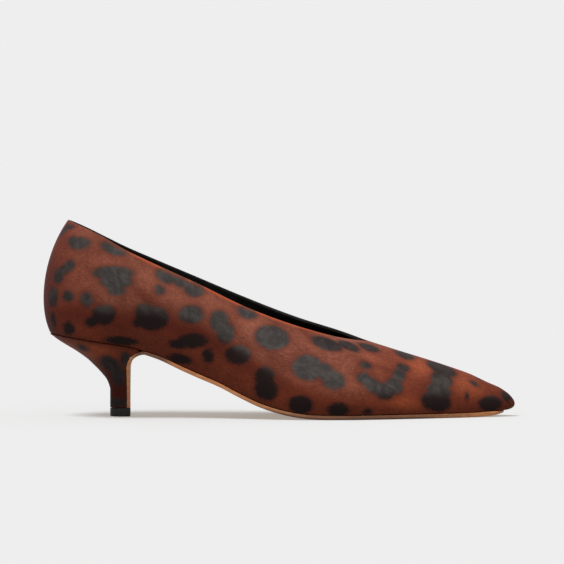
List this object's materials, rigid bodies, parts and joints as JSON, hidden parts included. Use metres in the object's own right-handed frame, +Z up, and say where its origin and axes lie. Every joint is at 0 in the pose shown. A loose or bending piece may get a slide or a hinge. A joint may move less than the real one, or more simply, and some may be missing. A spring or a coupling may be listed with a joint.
{
  "type": "heeled shoe",
  "caption": "Pointed pump for the right foot: a low hollow upper of short-haired leather on a thin leather sole and a low covered comma heel, with a V throat and a high back.",
  "frame": {"origin": "on the floor, under the middle of the shoe's footprint box", "axes": "+X from the heel to the toe, +Y to the inner (medial) side of the foot, +Z up"},
  "size_m": [0.2496, 0.0764, 0.1038],
  "materials": {
    "haired_leather": "short rust hair with dark spots",
    "heel_cover": "short rust hair with dark spots",
    "tan_sole_leather": "smooth satin tan",
    "top_piece": "black, moulded",
    "lining_leather": "smooth satin black"
  },
  "bodies": {
    "root": {"upper": "haired_leather", "heel": "heel_cover", "outsole": "tan_sole_leather", "heel_lift": "top_piece", "insole": "lining_leather"}
  },
  "joints": []
}
